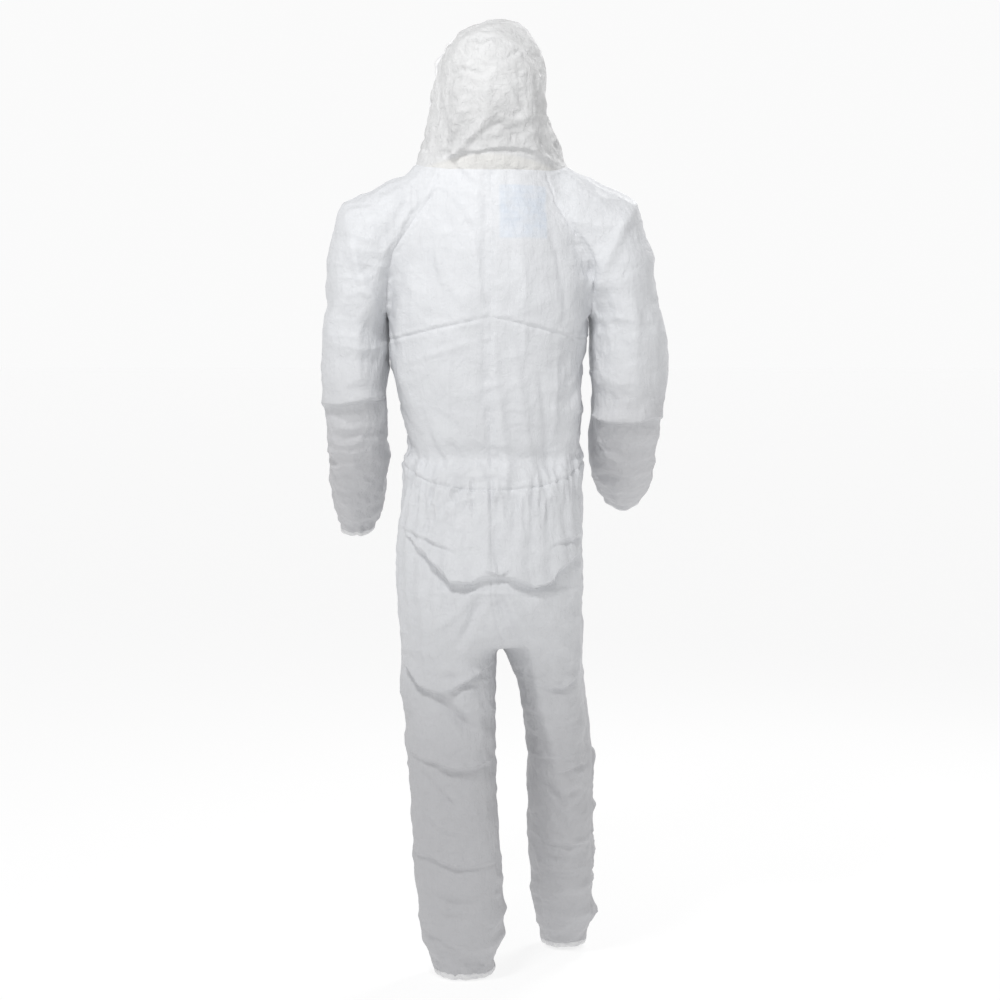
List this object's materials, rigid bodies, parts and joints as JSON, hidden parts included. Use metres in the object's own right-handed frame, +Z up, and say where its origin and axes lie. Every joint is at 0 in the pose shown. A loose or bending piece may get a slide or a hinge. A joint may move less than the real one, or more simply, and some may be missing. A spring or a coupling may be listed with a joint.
{
  "type": "chemical protective suit",
  "caption": "One-piece hooded protective coverall in its worn shape, with elastic openings and a covered front zip.",
  "frame": {"origin": "middle of the neck seam, where the wearer's neck carries the suit", "axes": "+Z up, the wearer faces -Y, +X is the wearer's left"},
  "size_m": [0.6408, 0.4396, 1.758],
  "materials": {
    "suit_fabric": "matt white laminated nonwoven, finely embossed",
    "hood_fabric": "matt white laminated nonwoven, finely crinkled",
    "collar_fabric": "matt off-white nonwoven",
    "elastic": "covered elastic thread, matt",
    "zip_tape": "woven tape, matt",
    "zip_plastic": "moulded white nylon, satin",
    "adhesive_tape": "soft adhesive film, slightly glossy",
    "release_liner": "smooth coated paper",
    "label": "woven label with no lettering"
  },
  "bodies": {
    "suit": {"left_front_panel": "suit_fabric", "right_front_panel": "suit_fabric", "left_upper_back_panel": "suit_fabric", "right_upper_back_panel": "suit_fabric", "left_lower_back_panel": "suit_fabric", "right_lower_back_panel": "suit_fabric", "left_seat_panel": "suit_fabric", "right_seat_panel": "suit_fabric", "left_hip_front_panel": "suit_fabric", "right_hip_front_panel": "suit_fabric", "waist_elastic": "elastic", "left_sleeve_head": "suit_fabric", "right_sleeve_head": "suit_fabric", "left_sleeve_shoulder_fold": "suit_fabric", "right_sleeve_shoulder_fold": "suit_fabric", "left_leg_hip_fold": "suit_fabric", "right_leg_hip_fold": "suit_fabric", "collar_band": "collar_fabric", "hood_neck_fold": "hood_fabric", "left_zip_tape": "zip_tape", "right_zip_tape": "zip_tape", "left_zip_teeth": "zip_plastic", "right_zip_teeth": "zip_plastic", "left_zip_top_stop": "zip_plastic", "right_zip_top_stop": "zip_plastic", "zip_bottom_stop": "zip_plastic", "storm_flap_base": "suit_fabric", "flap_adhesive_strip": "adhesive_tape", "adhesive_release_liner": "release_liner", "neck_label": "label"},
    "hood": {"hood_crown_panel": "hood_fabric", "hood_left_panel": "hood_fabric", "hood_right_panel": "hood_fabric", "hood_face_elastic": "elastic"},
    "slider": {"zip_slider": "zip_plastic"},
    "pull_tab": {"zip_pull_tab": "zip_plastic"},
    "flap": {"storm_flap": "suit_fabric"},
    "left_upper_arm": {"left_sleeve_upper_arm": "suit_fabric", "left_sleeve_elbow_fold": "suit_fabric"},
    "left_forearm": {"left_sleeve_forearm": "suit_fabric", "left_wrist_elastic": "elastic"},
    "left_thigh": {"left_leg_thigh": "suit_fabric", "left_leg_knee_fold": "suit_fabric"},
    "left_shin": {"left_leg_shin": "suit_fabric", "left_ankle_elastic": "elastic"},
    "right_upper_arm": {"right_sleeve_upper_arm": "suit_fabric", "right_sleeve_elbow_fold": "suit_fabric"},
    "right_forearm": {"right_sleeve_forearm": "suit_fabric", "right_wrist_elastic": "elastic"},
    "right_thigh": {"right_leg_thigh": "suit_fabric", "right_leg_knee_fold": "suit_fabric"},
    "right_shin": {"right_leg_shin": "suit_fabric", "right_ankle_elastic": "elastic"}
  },
  "joints": [
    {"name": "zip_slide", "type": "slide", "parent": "suit", "child": "slider", "axis": [0, -0.0549, -0.9985], "range_m": [0, 0.7]},
    {"name": "tab_swing", "type": "hinge", "parent": "slider", "child": "pull_tab", "pos_m": [0, -0.11279, 0.0189], "axis": [-1, 0, 0], "range_deg": [0, 120]},
    {"name": "flap_open", "type": "hinge", "parent": "suit", "child": "flap", "pos_m": [0.0208, -0.13727, -0.38316], "axis": [0, 0.0549, 0.9985], "range_deg": [0, 150]},
    {"name": "hood_fold_back", "type": "hinge", "parent": "suit", "child": "hood", "pos_m": [0, 0.105, 0.015], "axis": [-1, 0, 0], "range_deg": [0, 70], "deforming": ["hood_neck_fold"]},
    {"name": "left_shoulder", "type": "hinge", "parent": "suit", "child": "left_upper_arm", "pos_m": [0.245, 0, -0.22], "axis": [-1, 0, 0], "range_deg": [-30, 60], "deforming": ["left_sleeve_shoulder_fold"]},
    {"name": "left_elbow", "type": "hinge", "parent": "left_upper_arm", "child": "left_forearm", "pos_m": [0.253, -0.008, -0.43], "axis": [-1, 0, 0], "range_deg": [-30, 35], "deforming": ["left_sleeve_elbow_fold"]},
    {"name": "left_hip", "type": "hinge", "parent": "suit", "child": "left_thigh", "pos_m": [0.079, 0.009, -0.899], "axis": [-1, 0, 0], "range_deg": [-20, 30], "deforming": ["left_leg_hip_fold"]},
    {"name": "left_knee", "type": "hinge", "parent": "left_thigh", "child": "left_shin", "pos_m": [0.072, 0.012, -1.07], "axis": [1, 0, 0], "range_deg": [-10, 45], "deforming": ["left_leg_knee_fold"]},
    {"name": "right_shoulder", "type": "hinge", "parent": "suit", "child": "right_upper_arm", "pos_m": [-0.245, 0, -0.22], "axis": [-1, 0, 0], "range_deg": [-30, 60], "deforming": ["right_sleeve_shoulder_fold"]},
    {"name": "right_elbow", "type": "hinge", "parent": "right_upper_arm", "child": "right_forearm", "pos_m": [-0.25, -0.01, -0.428], "axis": [-1, 0, 0], "range_deg": [-40, 20], "deforming": ["right_sleeve_elbow_fold"]},
    {"name": "right_hip", "type": "hinge", "parent": "suit", "child": "right_thigh", "pos_m": [-0.1, -0.026, -0.899], "axis": [-1, 0, 0], "range_deg": [-20, 30], "deforming": ["right_leg_hip_fold"]},
    {"name": "right_knee", "type": "hinge", "parent": "right_thigh", "child": "right_shin", "pos_m": [-0.124, -0.086, -1.07], "axis": [1, 0, 0], "range_deg": [-10, 45], "deforming": ["right_leg_knee_fold"]}
  ]
}
